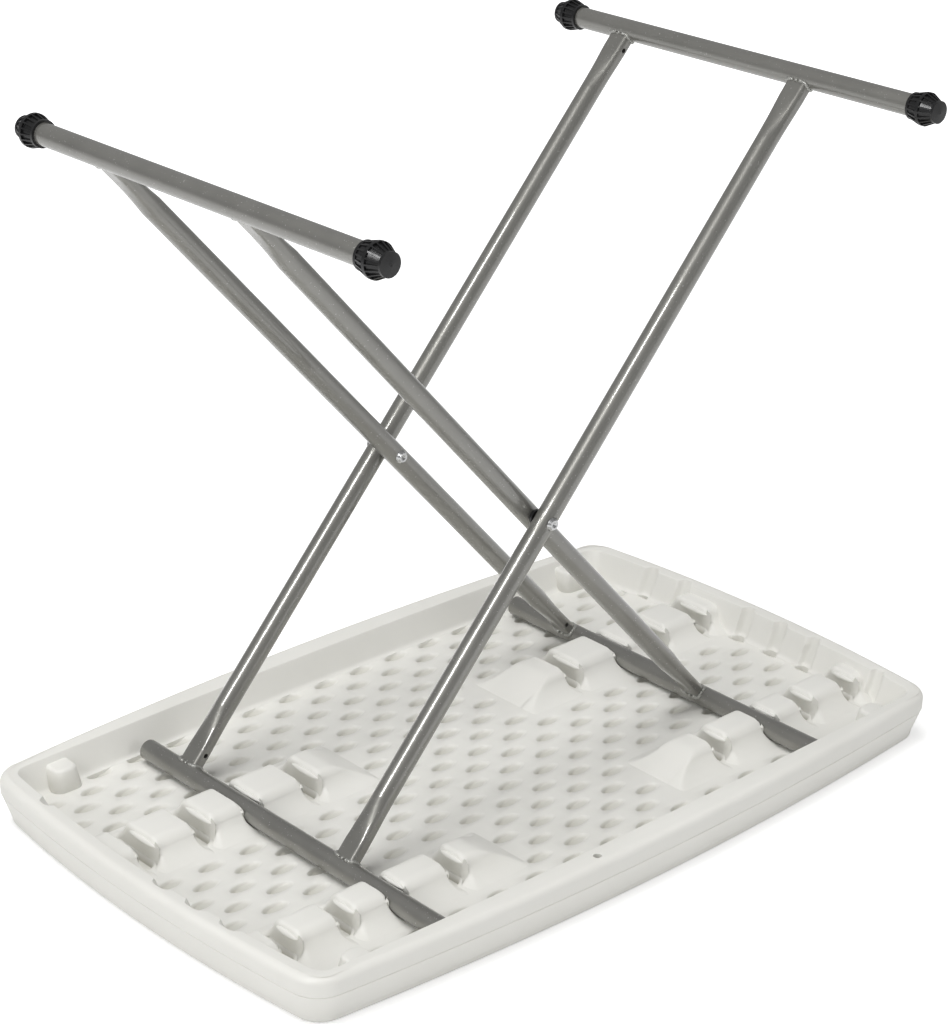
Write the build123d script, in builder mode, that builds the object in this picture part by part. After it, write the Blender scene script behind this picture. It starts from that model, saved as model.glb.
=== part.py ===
"""Height-adjustable folding tray table on a pair of X-shaped steel leg frames.

The table lies on its working face with the legs standing up. +Z points from the working face
towards the feet, +X runs along the table, and the origin is the middle of the working face.
"""
import os
from math import acos, cos, degrees, radians, sin, tan

from build123d import *

# Moulded top: outline, rim and tray
top_length = 762.0
top_width = 478.0
end_bow = 14.5
side_bow = 18.7
corner_radius = 28.0
rim_height = 46.5
parting_height = 30.0
parting_step = 0.5
face_inset = 8.0
face_edge_radius = 5.0
outer_lip_radius = 7.0
inner_lip_radius = 9.0
panel_height = 19.5
end_lip = 16.5
side_lip = 23.5
tray_end_bow = 13.0
tray_side_bow = 6.0
tray_corner_radius = 21.0
tray_draft = 23.5

# Moulded top: dimples, flutes, bosses and the hole in the lip
dimple_step_x = 21.55
dimple_step_y = 21.12
dimple_start = (9.3, 5.5)
dimple_length = 23.5
dimple_width = 12.0
dimple_depth = 4.5
dimple_slope = 31.0
dimple_corners = 8
dimple_room = 0.3
flute_radius = 11.0
flute_depth = 4.5
flute_drop = 4.0
boss_room = 41.3
boss_length = 29.0
boss_stand = 15.8
boss_radius = 6.0
boss_edge_radius = 2.5
lip_hole_diameter = 6.5
lip_hole_place = 72.0

# Steel tube and the X it makes
tube_diameter = 19.0
tube_wall = 1.2
leg_extra = 110.0
leg_angle = 48.0
leg_middle = 26.0
inner_spread = 171.0
leg_gap = 2.4
bar_middle = -5.5
crossbar_room = 15.8
crossbar_tuck = 0.75
flat_width = 22.0
flat_thickness = 12.0
flat_corner = 4.0
flat_straight = 24.0
flat_length = 66.0
vent_diameter = 4.5
vent_place = 21.0
bead_width = 2.6
bead_height = 3.4
bead_slope = 2.0

# Snap hooks that hold the crossbars at three heights and for storage
storage_angle = 2.5
low_angle = 34.5
high_angle = 61.6
storage_room = 19.1
hook_room = 73.8
hook_pitch = 195.0
hook_cover = 0.95
near_top_length = 26.0
far_top_length = 38.0
hook_slope = 62.0
near_flare = 32.0
far_flare = 27.0
flare_edge = 0.7
section_lap = 0.05
hook_shoulder = 4.0
hook_mouth = 4.0
slot_draft = 5.0
slot_clearance = 0.1
seat_clearance = 0.05
ramp_flat_room = 28.9
ramp_toe_room = 66.9
ramp_crest = 20.0
notch_side = 1.0
notch_end = 1.5
pocket_share = 1.45
pocket_width = 14.0
pocket_depth = 4.5
rib_spare = 14.0
rib_width = 4.0
rib_proud = 1.3
rib_root = 0.3
rib_drop = 4.5

# Foot caps
cap_length = 28.0
cap_inset = 29.0
cap_bore_depth = 16.0
cap_clearance = 0.05
cap_wall = 1.35
cap_collar = 2.5
cap_collar_wall = 2.05
cap_swell = 1.5
cap_belt_start = 12.0
cap_belt_end = 15.0
cap_belt_wall = 4.7
cap_tip = 0.55
cap_ring_start = 24.5
cap_ring_end = 27.0
cap_ring_wall = 0.05
cap_ribs = 18
cap_rib_width = 1.3

# Rivets and spacers at the crossing
rivet_diameter = 6.0
rivet_clearance = 0.05
rivet_head_diameter = 12.0
rivet_head_height = 3.0
rivet_crown_diameter = 8.4
rivet_dimple_diameter = 5.0
rivet_dimple_depth = 1.4
rivet_play = 0.1
spot_depth = 0.5
spot_margin = 0.4
spacer_diameter = 14.0
spacer_play = 0.3

# Derived sizes
tray_depth = rim_height - panel_height
tray_spread = tray_depth * tan(radians(tray_draft))
tray_half_length = top_length / 2 - end_lip - tray_spread
tray_half_width = top_width / 2 - side_lip - tray_spread
tube_radius = tube_diameter / 2
bar_height = panel_height + tube_radius + seat_clearance
boss_middle = tray_half_length - boss_room
boss_reach = tray_half_width - boss_stand
pivot_low = (tray_half_length - storage_room) / cos(radians(storage_angle))
pivot_high = pivot_low + leg_extra
crossbar_length = 2 * tray_half_width - crossbar_room + crossbar_tuck
crossbar_middle = -(crossbar_room + crossbar_tuck) / 2
cap_place = top_width / 2 - cap_inset
leg_run = cos(radians(leg_angle))
leg_rise = sin(radians(leg_angle))
crossbar_place = pivot_low * leg_run
foot_place = pivot_high * leg_run
pivot_height = bar_height + pivot_low * leg_rise
foot_height = pivot_height + pivot_high * leg_rise
leg_pitch = tube_diameter + leg_gap
outer_spread = inner_spread + 2 * leg_pitch
hook_top = bar_height + tube_radius + hook_cover
near_row = hook_room - tray_half_width
far_row = near_row + hook_pitch
hook_rows = {"near": (near_row, near_top_length), "far": (far_row, far_top_length)}
slot_angles = (storage_angle, low_angle, leg_angle, high_angle)
slot_places = [pivot_low * cos(radians(angle)) for angle in slot_angles]
ramp_flat = slot_places[-1] - ramp_flat_room
ramp_toe = slot_places[-1] - ramp_toe_room
foot_bar_length = 2 * (cap_place - cap_length / 2 + cap_bore_depth)

os.makedirs("parts", exist_ok=True)


def write(part, name):
    """Name a finished piece and write it as its own file."""
    part.label = name
    export_step(part, f"parts/{name}.step")


def bowed_outline(height, length, width, length_bow, width_bow, radius):
    """A rectangle with gently swollen sides and rounded corners."""
    corner_x = length / 2 - length_bow
    corner_y = width / 2 - width_bow
    with BuildSketch(Plane.XY.offset(height)) as outline:
        with BuildLine():
            ThreePointArc((corner_x, -corner_y), (length / 2, 0), (corner_x, corner_y))
            ThreePointArc((corner_x, corner_y), (0, width / 2), (-corner_x, corner_y))
            ThreePointArc((-corner_x, corner_y), (-length / 2, 0), (-corner_x, -corner_y))
            ThreePointArc((-corner_x, -corner_y), (0, -width / 2), (corner_x, -corner_y))
        make_face()
        fillet(outline.vertices(), radius)
    return outline.sketch


def top_outline(height, inset):
    """The outside of the top at one height."""
    length = top_length - 2 * inset
    width = top_width - 2 * inset
    return bowed_outline(height, length, width, end_bow, side_bow, corner_radius)


def tray_outline(height, spread):
    """The wall of the tray at one height."""
    length = 2 * (tray_half_length + spread)
    width = 2 * (tray_half_width + spread)
    radius = tray_corner_radius + spread / 2
    return bowed_outline(height, length, width, tray_end_bow, tray_side_bow, radius)


def lens(length, width, depth):
    """An eye-shaped wedge with a keel below, between two cones; its outline lies on z = 0."""
    reach = (length**2 + width**2) / (4 * width)
    shift = reach - width / 2
    seat = (Align.CENTER, Align.CENTER, Align.MAX)
    with BuildPart() as wedge:
        with Locations((0, shift, 0)):
            Cone(shift, reach, depth, align=seat)
        with Locations((0, -shift, 0)):
            Cone(shift, reach, depth, align=seat, mode=Mode.INTERSECT)
    return wedge.part


# The open space of the tray, from the panel up to the rim
with BuildPart() as tray_space:
    add(tray_outline(panel_height, 0))
    add(tray_outline(rim_height, tray_spread))
    loft(ruled=True)


def flare_point(end, radius, angle):
    """A point on the flare at one end of a hook, by the slope there; distances run from the row's middle."""
    side = 1 if end > 0 else -1
    corner = end + side * (hook_top - panel_height) / tan(radians(hook_slope))
    toe = corner + side * radius * tan(radians(hook_slope / 2))
    return toe - side * radius * sin(radians(angle)), panel_height + radius - radius * cos(radians(angle))


def flare_points(end, radius):
    """The foot, the middle and the top of the flare at one end of a hook."""
    thin = degrees(acos(1 - flare_edge / radius))
    return [flare_point(end, radius, angle) for angle in (thin, (thin + hook_slope) / 2, hook_slope)]


def hook_base(row):
    """Where the base of one row of hooks starts and ends across the table."""
    middle, top_length_here = hook_rows[row]
    near_foot = flare_points(-top_length_here / 2, near_flare)[0]
    far_foot = flare_points(top_length_here / 2, far_flare)[0]
    return middle + near_foot[0], middle + far_foot[0]


# Dimples lie in staggered rows, apart from the hooks and the bosses
def near_hooks(x, y):
    """Whether a dimple would lie under a row of hooks."""
    half = dimple_width / 2 + dimple_room
    along = abs(x) > ramp_toe - dimple_length / 2 - dimple_room
    return along and any(low - half < y < high + half for low, high in map(hook_base, hook_rows))


def near_boss(x, y):
    """Whether a dimple would lie under a corner boss."""
    along = abs(abs(x) - boss_middle) < (boss_length + dimple_length) / 2 + dimple_room
    return along and abs(y) > boss_reach - dimple_width / 2 - dimple_room


def near_wall(x, y):
    """Whether a dimple would run into a wall of the tray."""
    end_wall = tray_half_length - tray_end_bow * (y / tray_half_width) ** 2
    side_wall = tray_half_width - tray_side_bow * (x / tray_half_length) ** 2
    past_end = abs(x) + dimple_length / 2 + dimple_room > end_wall
    return past_end or abs(y) + dimple_width / 2 + dimple_room > side_wall


def lattice_point(column, row):
    """One point of the dimple pattern."""
    return dimple_start[0] + column * dimple_step_x, dimple_start[1] + row * dimple_step_y


# One dimple, as an oval with flat sides that lean in towards its floor
dimple_turns = [radians(360 * (corner + 0.5) / dimple_corners) for corner in range(dimple_corners)]
dimple_reach = 0.5 / cos(radians(180 / dimple_corners))
with BuildPart() as dimple:
    with BuildSketch():
        Polygon(
            *[
                (dimple_length * dimple_reach * cos(turn), dimple_width * dimple_reach * sin(turn))
                for turn in dimple_turns
            ],
            align=None,
        )
    extrude(amount=-dimple_depth, taper=dimple_slope)

last_column = round(top_length / 2 / dimple_step_x) + 1
last_row = round(top_width / 2 / dimple_step_y) + 1
places = [(i, j) for i in range(-last_column, last_column) for j in range(-last_row, last_row)]
lattice = [lattice_point(i, j) for i, j in places if (i + j) % 2 == 0]
dimple_spots = [
    (x, y, panel_height)
    for x, y in lattice
    if not near_wall(x, y) and not near_hooks(x, y) and not near_boss(x, y)
]
flute_spots = [
    (x, y)
    for x, y in lattice
    if abs(abs(x) - tray_half_length) < dimple_step_x / 2
    and abs(y) < tray_half_width - tray_corner_radius
    and not near_hooks(x, y)
]

with BuildPart() as table_top:
    # Two mould halves meet at the parting line, where the top is widest
    add(top_outline(0, face_inset))
    add(top_outline(parting_height, parting_step))
    loft(ruled=True)
    add(top_outline(parting_height, 0))
    extrude(amount=rim_height - parting_height)
    add(tray_space.part, mode=Mode.SUBTRACT)
    fillet(table_top.faces().sort_by(Axis.Z)[0].edges(), face_edge_radius)
    fillet(table_top.faces().sort_by(Axis.Z)[-1].outer_wire().edges(), outer_lip_radius)
    fillet(table_top.faces().sort_by(Axis.Z)[-1].inner_wires()[0].edges(), inner_lip_radius)
    # Corner bosses as high as the rim
    for side in (-1, 1):
        wall_y = top_width / 2 - side_bow * (boss_middle / (top_length / 2 - end_bow)) ** 2
        boss_end = wall_y - outer_lip_radius - 1
        with BuildSketch(Plane.XY.offset(panel_height - 1)) as boss:
            with Locations((-boss_middle, side * (boss_reach + boss_end) / 2)):
                Rectangle(boss_length, boss_end - boss_reach)
            with Locations((boss_middle, side * (boss_reach + boss_end) / 2)):
                Rectangle(boss_length, boss_end - boss_reach)
            fillet(boss.vertices().group_by(Axis.Y)[0 if side > 0 else -1], boss_radius)
        extrude(amount=tray_depth + 1)
    # Flutes up the two short walls, where the dimple pattern runs into them
    for x, y in flute_spots:
        side = 1 if x > 0 else -1
        wall_x = tray_half_length - tray_end_bow * (y / tray_half_width) ** 2
        axis_x = side * (wall_x - flute_radius + flute_depth)
        tilt = (side * sin(radians(tray_draft)), 0, cos(radians(tray_draft)))
        with Locations(Plane(origin=(axis_x, y, panel_height), z_dir=tilt)):
            with Locations((0, 0, -flute_drop)):
                flute_seat = (Align.CENTER, Align.CENTER, Align.MIN)
                Cylinder(flute_radius, 2 * tray_depth, align=flute_seat, mode=Mode.SUBTRACT)
    with Locations(*dimple_spots):
        add(dimple.part, mode=Mode.SUBTRACT)
    # Shallow pockets in the panel below the slots of the hooks
    for middle, top_length_here in hook_rows.values():
        with BuildSketch(Plane.XY.offset(panel_height)):
            with Locations(*[(side * place, middle) for side in (-1, 1) for place in slot_places]):
                SlotOverall(pocket_share * top_length_here, pocket_width, rotation=90)
        extrude(amount=-pocket_depth, mode=Mode.SUBTRACT)
    # Notches in the foot of the near wall, where the crossbars run in under the lip
    notch_reach = tray_half_width + crossbar_tuck + notch_end
    notch_start = tray_half_width - tray_side_bow
    with BuildSketch(Plane.XY.offset(panel_height)):
        with Locations(*[
            (side * place, -(notch_reach + notch_start) / 2) for side in (-1, 1) for place in slot_places[1:]
        ]):
            Rectangle(tube_diameter + 2 * notch_side, notch_reach - notch_start)
    extrude(amount=tube_diameter, mode=Mode.SUBTRACT)
    lip_y = top_width / 2 - (side_lip + outer_lip_radius - inner_lip_radius / 2) / 2
    with Locations((-lip_hole_place, -lip_y, rim_height)):
        Hole(lip_hole_diameter / 2, depth=tray_depth / 2)
write(table_top.part, "table_top")


# Snap hooks: five blocks to a row with a slot between each pair
def slot_half(height):
    """Half the width of a slot at one height; its walls lean apart upwards."""
    return tube_radius + slot_clearance + (height - bar_height) * tan(radians(slot_draft))


def hook_block(outer, inner):
    """The long section of one block, between two slots or from a slot to the wall or the ramp."""
    foot = slot_half(panel_height)
    mouth = slot_half(hook_top)
    wall = top_length / 2
    out_foot = outer - foot if outer else wall
    out_top = outer - mouth if outer else wall
    in_foot = inner + foot if inner else ramp_toe
    in_top = inner + mouth if inner else ramp_flat
    with BuildSketch() as block:
        with BuildLine():
            Polyline(
                (in_foot, panel_height),
                (out_foot, panel_height),
                (out_top, hook_top),
                (in_top, hook_top),
                close=True,
            )
        make_face()
        crown = block.vertices().group_by(Axis.Y)[-1].sort_by(Axis.X)
        fillet(crown[0], hook_mouth if inner else ramp_crest)
        if outer:
            crown = block.vertices().group_by(Axis.Y)[-1].sort_by(Axis.X)
            fillet(crown[-1], hook_mouth)
    return block.sketch


def make_hooks(side, row):
    """One row of hooks, running in from the short wall of the tray."""
    middle, top_length_here = hook_rows[row]
    near_foot, near_bend, near_crest = flare_points(-top_length_here / 2, near_flare)
    far_foot, far_bend, far_crest = flare_points(top_length_here / 2, far_flare)
    along = Plane(origin=(0, middle, 0), x_dir=(side, 0, 0), z_dir=(0, -side, 0))
    across = Plane(origin=(-top_length / 2, middle, 0), x_dir=(0, 1, 0), z_dir=(1, 0, 0))
    rib = lens(top_length_here / 2 + rib_spare, rib_width, rib_proud + rib_root)
    rib_height = hook_top - rib_drop
    above = hook_top + section_lap
    below = panel_height - section_lap
    with BuildPart() as hooks:
        with BuildSketch(along):
            for outer, inner in zip([None, *slot_places], [*slot_places, None]):
                add(hook_block(outer, inner))
        extrude(amount=top_length_here + near_flare, both=True)
        with BuildSketch(across) as section:
            with BuildLine():
                Polyline(near_foot, (near_foot[0], below), (far_foot[0], below), far_foot)
                ThreePointArc(far_foot, far_bend, far_crest)
                Polyline(far_crest, (top_length_here / 2, above), (-top_length_here / 2, above), near_crest)
                ThreePointArc(near_crest, near_bend, near_foot)
            make_face()
            fillet(section.vertices().group_by(Axis.Y)[-1], hook_shoulder)
        extrude(amount=top_length, mode=Mode.INTERSECT)
        add(tray_space.part, mode=Mode.INTERSECT)
        # A snap rib on each wall of each slot
        for place in slot_places:
            for facing in (-1, 1):
                rib_x = place + facing * (slot_half(rib_height) + rib_root)
                origin = (side * rib_x, middle, rib_height)
                with Locations(Plane(origin=origin, x_dir=(0, 1, 0), z_dir=(facing * side, 0, 0))):
                    add(rib)
    return hooks.part


for side, side_name in ((-1, "left"), (1, "right")):
    for row in hook_rows:
        write(make_hooks(side, row), f"hooks_{side_name}_{row}")


# Leg frames: two legs joined by a crossbar in the hooks and a longer foot bar
def across_plane(x, y, z):
    """A plane square to the bars."""
    return Plane(origin=(x, y, z), x_dir=(1, 0, 0), z_dir=(0, 1, 0))


def flat_section(plane, grow):
    """The flattened end of a leg, grown or shrunk evenly."""
    with BuildSketch(plane) as section:
        RectangleRounded(flat_width + 2 * grow, flat_thickness + 2 * grow, flat_corner + grow)
    return section.sketch


def round_section(plane, grow):
    """The round part of a leg, grown or shrunk evenly."""
    with BuildSketch(plane) as section:
        Circle(tube_radius + grow)
    return section.sketch


def make_leg(slope, y, inward, head):
    """A leg with both ends pressed flat and coped round the bars."""
    middle = Plane(origin=(0, y, pivot_height), x_dir=(0, 1, 0), z_dir=(slope * leg_run, 0, leg_rise))
    ends = ((-1, pivot_low, -crossbar_place, bar_height), (1, pivot_high, foot_place, foot_height))
    with BuildPart() as leg:
        shaft_plane = middle.offset(flat_length - pivot_low)
        shaft_length = pivot_low + pivot_high - 2 * flat_length
        extrude(round_section(shaft_plane, 0), amount=shaft_length)
        for end, reach, bar_x, bar_z in ends:
            neck = round_section(middle.offset(end * (reach - flat_length)), 0)
            blade = flat_section(middle.offset(end * (reach - flat_straight)), 0)
            loft([neck, blade], ruled=True)
            extrude(blade, amount=end * flat_straight)
        extrude(round_section(shaft_plane, -tube_wall), amount=shaft_length, mode=Mode.SUBTRACT)
        for end, reach, bar_x, bar_z in ends:
            with Locations(across_plane(slope * bar_x, y, bar_z)):
                Cylinder(tube_radius, 3 * flat_width, mode=Mode.SUBTRACT)
            vent = middle.offset(end * (reach - vent_place)).origin
            with Locations(across_plane(vent.X, y + inward * flat_width / 2, vent.Z)):
                Cylinder(vent_diameter / 2, flat_width / 2, mode=Mode.SUBTRACT)
        # Pivot hole, with flats pressed for the rivet head and the spacer
        with Locations(across_plane(0, y, pivot_height)):
            Cylinder(rivet_diameter / 2 + rivet_clearance, 2 * tube_diameter, mode=Mode.SUBTRACT)
        with Locations(across_plane(0, y + head * (tube_diameter - spot_depth), pivot_height)):
            Cylinder(rivet_head_diameter / 2 + spot_margin, tube_diameter, mode=Mode.SUBTRACT)
        if slope > 0:
            with Locations(across_plane(0, y - head * (tube_diameter - spot_depth), pivot_height)):
                Cylinder(spacer_diameter / 2 + spot_margin, tube_diameter, mode=Mode.SUBTRACT)
    return leg.part


def make_bar(x, z, length, middle):
    """A plain tube lying across the table."""
    with BuildPart() as bar:
        with BuildSketch(across_plane(x, middle, z)):
            Circle(tube_radius)
            Circle(tube_radius - tube_wall, mode=Mode.SUBTRACT)
        extrude(amount=length / 2, both=True)
    return bar.part


def make_bead(slope, y, end, bar_x, bar_z):
    """The weld bead round one end of a leg, where it stands on its bar."""
    inward = (-end * slope * leg_run, 0, -end * leg_rise)
    root = Plane(origin=(slope * bar_x, y, bar_z), x_dir=(0, 1, 0), z_dir=inward)
    with BuildPart() as bead:
        extrude(flat_section(root, bead_width), tube_radius + bead_height)
        crest = bead.faces().sort_by(Axis((0, 0, 0), inward))[-1]
        chamfer(crest.edges(), bead_slope)
        extrude(flat_section(root, 0), flat_straight, mode=Mode.SUBTRACT)
        with Locations(across_plane(slope * bar_x, y, bar_z)):
            Cylinder(tube_radius, 3 * flat_width, mode=Mode.SUBTRACT)
    return bead.part


def make_welds(slope, spread):
    """The four beads that join two legs to their bars."""
    with BuildPart() as welds:
        for y in (leg_middle - spread / 2, leg_middle + spread / 2):
            add(make_bead(slope, y, -1, -crossbar_place, bar_height))
            add(make_bead(slope, y, 1, foot_place, foot_height))
    return welds.part


def make_cap(x, end):
    """A lantern-shaped foot cap with thin ribs, pushed over one end of a foot bar."""
    start = bar_middle + end * (cap_place - cap_length / 2)
    origin = (x, start, foot_height)
    bore = tube_radius + cap_clearance
    collar = bore + cap_collar_wall
    core = bore + cap_wall
    belly = core + cap_swell
    belt = bore + cap_belt_wall
    ring = bore + cap_ring_wall
    neck = ring - cap_tip
    with BuildPart() as rib:
        with BuildSketch(Plane.XZ):
            Polygon(
                (bore - 1, cap_belt_start),
                (core - 1, cap_collar),
                (collar, cap_collar),
                (belt, cap_belt_start),
                (belt, cap_belt_end),
                (ring, cap_ring_start),
                (neck - 1, cap_ring_start),
                align=None,
            )
        extrude(amount=cap_rib_width / 2, both=True)
    with BuildPart() as cap:
        with BuildSketch(Plane(origin=origin, x_dir=(1, 0, 0), z_dir=(0, 0, end))):
            Polygon(
                (0, cap_bore_depth),
                (bore, cap_bore_depth),
                (bore, 0),
                (collar, 0),
                (collar, cap_collar),
                (core, cap_collar),
                (belly, cap_belt_start),
                (belt, cap_belt_start),
                (belt, cap_belt_end),
                (belly, cap_belt_end),
                (neck, cap_ring_start),
                (ring, cap_ring_start),
                (ring, cap_ring_end),
                (0, cap_length),
                align=None,
            )
        revolve(axis=Axis(origin, (0, end, 0)))
        with Locations(Plane(origin=origin, x_dir=(1, 0, 0), z_dir=(0, end, 0))):
            with PolarLocations(0, cap_ribs):
                add(rib.part)
        with Locations(Plane(origin=origin, z_dir=(0, end, 0))):
            bore_seat = (Align.CENTER, Align.CENTER, Align.MIN)
            Cylinder(bore, cap_bore_depth, align=bore_seat, mode=Mode.SUBTRACT)
    return cap.part


def make_rivet(first, last):
    """A rivet lying across the table, with a coned head and a pressed dimple at each end."""
    length = last - first
    head = rivet_head_diameter / 2
    crown = rivet_crown_diameter / 2
    pit = rivet_dimple_diameter / 2
    shank = rivet_diameter / 2
    rise = rivet_head_height
    with BuildPart() as rivet:
        with BuildSketch(Plane(origin=(0, first, pivot_height), x_dir=(1, 0, 0), z_dir=(0, 0, 1))):
            Polygon(
                (0, rivet_dimple_depth - rise),
                (pit, -rise),
                (crown, -rise),
                (head, 0),
                (shank, 0),
                (shank, length),
                (head, length),
                (crown, length + rise),
                (pit, length + rise),
                (0, length + rise - rivet_dimple_depth),
                align=None,
            )
        revolve(axis=Axis((0, first, pivot_height), (0, 1, 0)))
    return rivet.part


for slope, spread, frame in ((1, outer_spread, "outer"), (-1, inner_spread, "inner")):
    crossbar = make_bar(-slope * crossbar_place, bar_height, crossbar_length, crossbar_middle)
    write(crossbar, f"{frame}_crossbar")
    write(make_bar(slope * foot_place, foot_height, foot_bar_length, bar_middle), f"{frame}_foot_bar")
    write(make_welds(slope, spread), f"{frame}_welds")
    for end, end_name in ((-1, "near"), (1, "far")):
        leg = make_leg(slope, leg_middle + end * spread / 2, -end, end * slope)
        write(leg, f"{frame}_leg_{end_name}")
        write(make_cap(slope * foot_place, end), f"{frame}_foot_cap_{end_name}")

# Rivets and spacers: each rivet runs through one outer and one inner leg
flat = tube_radius - spot_depth
for end, end_name in ((-1, "near"), (1, "far")):
    outer_y = leg_middle + end * outer_spread / 2
    inner_y = leg_middle + end * inner_spread / 2
    outer_seat = outer_y + end * flat
    inner_seat = inner_y - end * (flat + rivet_play)
    rivet = make_rivet(min(outer_seat, inner_seat), max(outer_seat, inner_seat))
    write(rivet, f"pivot_rivet_{end_name}")
    thickness = leg_gap + spot_depth - spacer_play
    with BuildPart() as spacer:
        with BuildSketch(across_plane(0, outer_y - end * flat, pivot_height)):
            Circle(spacer_diameter / 2)
            Circle(rivet_diameter / 2 + rivet_clearance, mode=Mode.SUBTRACT)
        extrude(amount=-end * thickness)
    write(spacer.part, f"pivot_spacer_{end_name}")
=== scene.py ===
# %% [markdown]
# This lesson dresses a small folding tray table that lies face down with its X-shaped legs up.
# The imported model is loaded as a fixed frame, so every piece below is made where the solids already are.
# All lengths are in metres, and sizes that are easier to read in millimetres are written with MM.

# %% Load the frame
import math

import bmesh
import bpy
import numpy as np
from mathutils import Matrix, Vector


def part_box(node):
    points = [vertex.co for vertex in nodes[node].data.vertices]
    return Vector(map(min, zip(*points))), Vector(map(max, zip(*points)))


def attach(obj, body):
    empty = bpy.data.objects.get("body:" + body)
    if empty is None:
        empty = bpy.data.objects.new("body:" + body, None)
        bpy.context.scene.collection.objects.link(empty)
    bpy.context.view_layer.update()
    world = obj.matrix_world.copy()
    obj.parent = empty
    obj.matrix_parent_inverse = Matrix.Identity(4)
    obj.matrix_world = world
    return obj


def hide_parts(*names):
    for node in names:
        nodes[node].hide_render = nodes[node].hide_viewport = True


MM = 0.001
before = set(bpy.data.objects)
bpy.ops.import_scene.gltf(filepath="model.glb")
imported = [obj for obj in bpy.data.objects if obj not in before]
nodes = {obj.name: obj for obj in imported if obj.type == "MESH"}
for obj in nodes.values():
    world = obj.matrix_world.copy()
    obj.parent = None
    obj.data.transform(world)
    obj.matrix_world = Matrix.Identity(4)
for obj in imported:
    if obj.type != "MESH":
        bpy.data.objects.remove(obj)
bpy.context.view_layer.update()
bpy.context.scene.view_settings.view_transform = "Standard"


# %% Helpers for colours and shader nodes
def linear(hex_colour):
    """An sRGB hex colour as the linear values that shader sockets take."""
    parts = [int(hex_colour[i:i + 2], 16) / 255 for i in (1, 3, 5)]
    return [p / 12.92 if p <= 0.04045 else ((p + 0.055) / 1.055) ** 2.4 for p in parts] + [1.0]


def add_node(tree, kind, links=None, **settings):
    """Add one node, set its sockets and properties, and link other sockets into it."""
    node = tree.nodes.new(kind)
    for name, value in settings.items():
        if name.startswith("socket_"):
            node.inputs[int(name[7:])].default_value = value
        else:
            setattr(node, name, value)
    for socket, source in (links or {}).items():
        tree.links.new(source, node.inputs[socket])
    return node


def maths(tree, operation, *values):
    """The output of a math node; each input is a plain number or the socket that is linked to it."""
    node = tree.nodes.new("ShaderNodeMath")
    node.operation = operation
    for place, value in enumerate(values):
        if isinstance(value, (int, float)):
            node.inputs[place].default_value = value
        else:
            tree.links.new(value, node.inputs[place])
    return node.outputs[0]


def new_group(name):
    """An empty Geometry Nodes group with geometry in and out."""
    tree = bpy.data.node_groups.new(name, "GeometryNodeTree")
    for direction in ("INPUT", "OUTPUT"):
        tree.interface.new_socket("Geometry", in_out=direction, socket_type="NodeSocketGeometry")
    return tree


def new_input(tree, name, kind):
    """Add a named input to a group; its identifier is what a modifier sets."""
    return tree.interface.new_socket(name, in_out="INPUT", socket_type=kind).identifier


def new_material(name):
    """A node material with its principled shader."""
    material = bpy.data.materials.new(name)
    material.use_nodes = True
    tree = material.node_tree
    return material, tree, tree.nodes["Principled BSDF"]


# %% [markdown]
# The camera stands where the photograph was taken, to the front left of the table and above it.
# Its place, its aim and its long lens come from fitting the table's known edges to the picture.

# %% Camera
eye = Vector((-1.4730, -1.5947, 1.2225))
aim = Vector((0.6189, 0.6724, -0.4059)).normalized()
across = Vector((0.7390, -0.6736, 0.0111))
across = (across - aim * across.dot(aim)).normalized()
upward = across.cross(aim)
camera = bpy.data.objects.new("camera", bpy.data.cameras.new("camera"))
camera.data.sensor_fit = "HORIZONTAL"
camera.data.sensor_width = 36.0
camera.data.lens = 104.57
camera.matrix_world = Matrix.Translation(eye) @ Matrix((across, upward, -aim)).transposed().to_4x4()
bpy.context.scene.collection.objects.link(camera)
bpy.context.scene.camera = camera
print("camera at", [round(v, 3) for v in eye])

# %% [markdown]
# The table is shown on a plain white floor. The floor is a white diffuse sheet that keeps a soft shadow,
# and it also glows a little towards the camera, so that it meets the white backdrop without an edge.

# %% Floor and backdrop
floor_material = bpy.data.materials.new("white_floor")
floor_material.use_nodes = True
tree = floor_material.node_tree
tree.nodes.clear()
path = add_node(tree, "ShaderNodeLightPath")
# Mirrored in the paint, the floor glows only a third as much.
mirrored = maths(tree, "MULTIPLY", path.outputs["Is Glossy Ray"], 0.33)
seen = maths(tree, "MAXIMUM", path.outputs["Is Camera Ray"], mirrored)
seen = maths(tree, "MAXIMUM", seen, path.outputs["Is Transmission Ray"])
# The lamps fade with distance, so the glow grows from 0.42 beside the table to a full white 2.4 m away.
spot = add_node(tree, "ShaderNodeTexCoord")
far = add_node(tree, "ShaderNodeVectorMath", {0: spot.outputs["Object"]}, operation="LENGTH")
level = add_node(tree, "ShaderNodeMapRange", {0: far.outputs["Value"]},
                 socket_1=0.8, socket_2=2.4, socket_3=0.42, socket_4=1.0)
glow = maths(tree, "MULTIPLY", seen, level.outputs[0])
white = add_node(tree, "ShaderNodeBsdfDiffuse")
white.inputs["Color"].default_value = linear("#f2f2f2")
shine = add_node(tree, "ShaderNodeEmission", {1: glow})
both = add_node(tree, "ShaderNodeAddShader", {0: white.outputs[0], 1: shine.outputs[0]})
add_node(tree, "ShaderNodeOutputMaterial", {0: both.outputs[0]})

sheet = bmesh.new()
bmesh.ops.create_grid(sheet, x_segments=2, y_segments=2, size=12.0)
floor = bpy.data.objects.new("floor", bpy.data.meshes.new("floor"))
sheet.to_mesh(floor.data)
sheet.free()
floor.location.z = -0.0004
floor.data.materials.append(floor_material)
bpy.context.scene.collection.objects.link(floor)

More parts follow.
